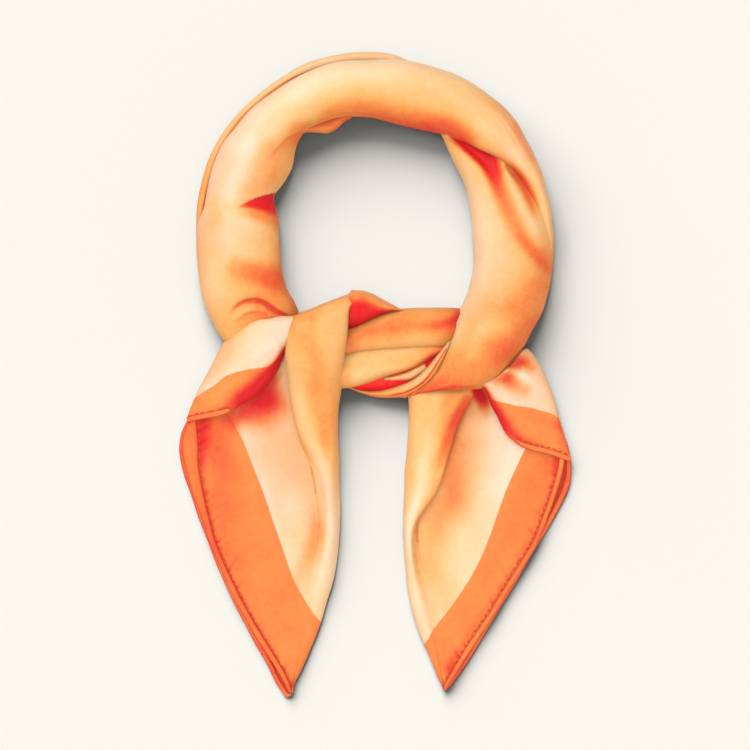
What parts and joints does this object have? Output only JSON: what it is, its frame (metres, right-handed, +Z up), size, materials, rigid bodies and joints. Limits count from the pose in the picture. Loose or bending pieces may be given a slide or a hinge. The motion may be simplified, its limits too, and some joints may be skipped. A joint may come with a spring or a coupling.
{
  "type": "neckerchief",
  "caption": "Square satin neckerchief folded on its diagonal and tied in a loop with a half knot, lying flat with both pointed tails spread below.",
  "frame": {"origin": "centre of the footprint, on the surface that the cloth lies on", "axes": "+Y from the tips of the tails up to the back of the loop, +X to the right as seen from above, +Z up"},
  "size_m": [0.2344, 0.387, 0.0278],
  "materials": {
    "satin_field": "soft satin weave, dyed from gold to apricot",
    "satin_tails": "soft satin weave, pale peach field with a plain orange border",
    "rolled_hem": "rolled and stitched satin hem in the border's orange"
  },
  "bodies": {
    "root": {"loop_left": "satin_field", "loop_top": "satin_field", "loop_right": "satin_field", "outer_ply": "satin_field", "inner_lobe": "satin_field", "knot_core": "satin_field", "knot_cross_upper": "satin_field", "knot_cross_lower": "satin_field", "knot_tuck": "satin_field", "knot_peak": "satin_field", "knot_wrap": "satin_field", "tail_left_roll": "satin_field", "tail_right_roll": "satin_field", "tail_left_front": "satin_tails", "tail_left_back": "satin_tails", "tail_left_flap": "satin_tails", "tail_right_front": "satin_tails", "tail_right_back": "satin_tails", "tail_right_flap": "satin_tails", "tail_left_front_hem": "rolled_hem", "tail_left_back_hem": "rolled_hem", "tail_left_flap_hem": "rolled_hem", "tail_right_front_hem": "rolled_hem", "tail_right_back_hem": "rolled_hem", "tail_right_flap_hem": "rolled_hem"}
  },
  "joints": []
}
